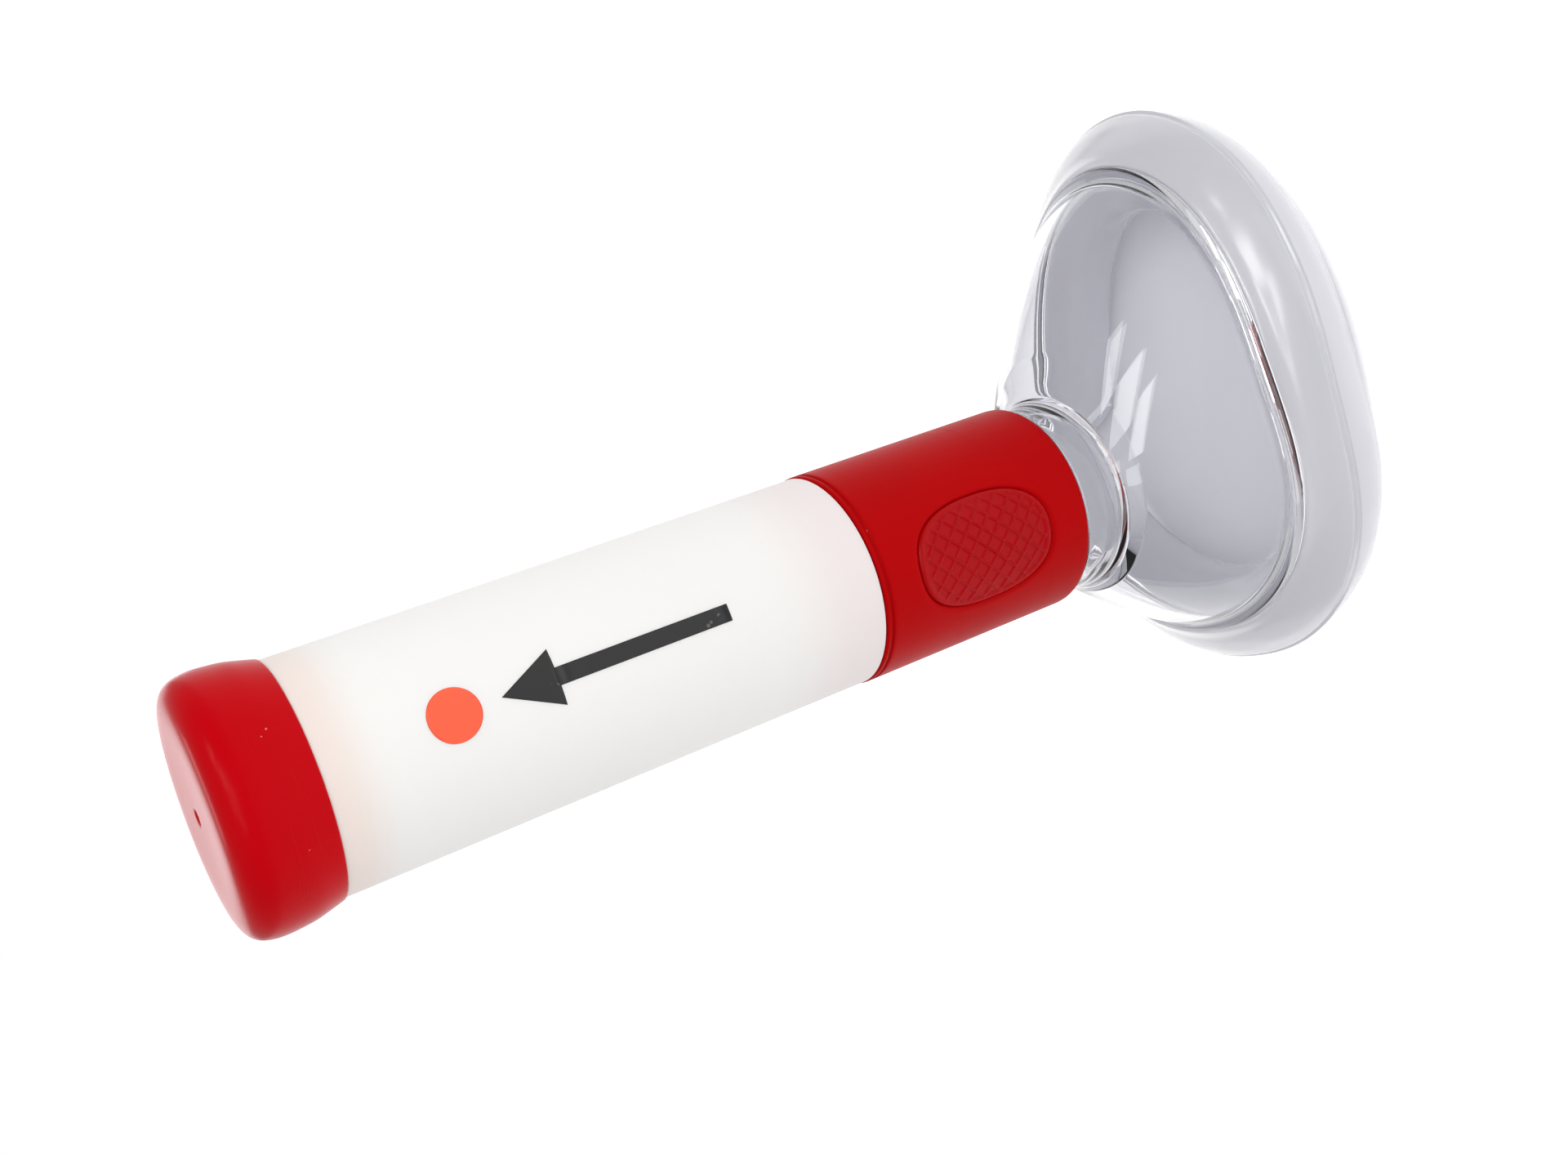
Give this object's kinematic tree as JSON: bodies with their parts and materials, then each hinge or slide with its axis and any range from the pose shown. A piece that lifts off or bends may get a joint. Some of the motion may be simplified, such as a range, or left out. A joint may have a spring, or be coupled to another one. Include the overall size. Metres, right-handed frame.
{
  "type": "anti-choking suction device",
  "caption": "Hand-held airway suction pump: clear egg-shaped face mask with a soft cushion, red grip collar with oval pads, and a frosted pull sleeve with a red end cap.",
  "frame": {"origin": "centre of the mask's footprint on the plane of its seal, with the pump standing on its mask", "axes": "+Z along the pump's axis from the mask to the end cap, +X towards the narrow nose end of the mask, +Y the mask's width"},
  "size_m": [0.1308, 0.0978, 0.25],
  "materials": {
    "red_shell": "satin red moulded plastic",
    "red_pad": "satin red pad with crossed ridges",
    "red_cap": "soft satin red cap",
    "frosted_plastic": "milky frosted translucent plastic",
    "clear_tube": "clear tube",
    "clear_shell": "clear rigid polycarbonate",
    "clear_soft": "soft clear grey cushion, glossy",
    "white_plastic": "white moulded plastic",
    "silicone": "natural silicone",
    "black_rubber": "black rubber seal"
  },
  "bodies": {
    "front": {"collar_shell": "red_shell", "grip_pad_left": "red_pad", "grip_pad_right": "red_pad", "inner_cylinder": "clear_tube", "base_gasket": "black_rubber", "inlet_valve_seat": "white_plastic", "seal_carrier": "white_plastic", "carrier_seal": "black_rubber", "piston_seal": "black_rubber"},
    "inlet_flap": {"inlet_valve": "silicone"},
    "guide": {"guide_ring": "white_plastic"},
    "handle": {"barrel_sleeve": "frosted_plastic", "valve_housing": "white_plastic", "housing_seal": "black_rubber", "exhaust_valve_seat": "white_plastic", "end_cap": "red_cap"},
    "exhaust_flap": {"exhaust_valve": "silicone"},
    "adaptor": {"neck_adaptor": "clear_shell", "adaptor_seal": "black_rubber"},
    "mask": {"mask_dome": "clear_shell", "mask_cushion": "clear_soft"}
  },
  "joints": [
    {"name": "handle_pull", "type": "slide", "parent": "front", "child": "guide", "axis": [0, 0, 1], "range_m": [0, 0.086]},
    {"name": "handle_turn", "type": "hinge", "parent": "guide", "child": "handle", "pos_m": [-0.0125, 0, 0.16], "axis": [0, 0, 1], "continuous": true},
    {"name": "inlet_lift", "type": "slide", "parent": "front", "child": "inlet_flap", "axis": [0, 0, 1], "range_m": [0, 0.0012], "stiffness_N_per_m": 20},
    {"name": "exhaust_lift", "type": "slide", "parent": "handle", "child": "exhaust_flap", "axis": [0, 0, 1], "range_m": [0, 0.0012], "stiffness_N_per_m": 20},
    {"name": "mask_release", "type": "slide", "parent": "front", "child": "adaptor", "axis": [0, 0, -1], "range_m": [0, 0.03]},
    {"name": "mask_turn", "type": "hinge", "parent": "adaptor", "child": "mask", "pos_m": [-0.0125, 0, 0.06], "axis": [0, 0, 1], "continuous": true}
  ]
}
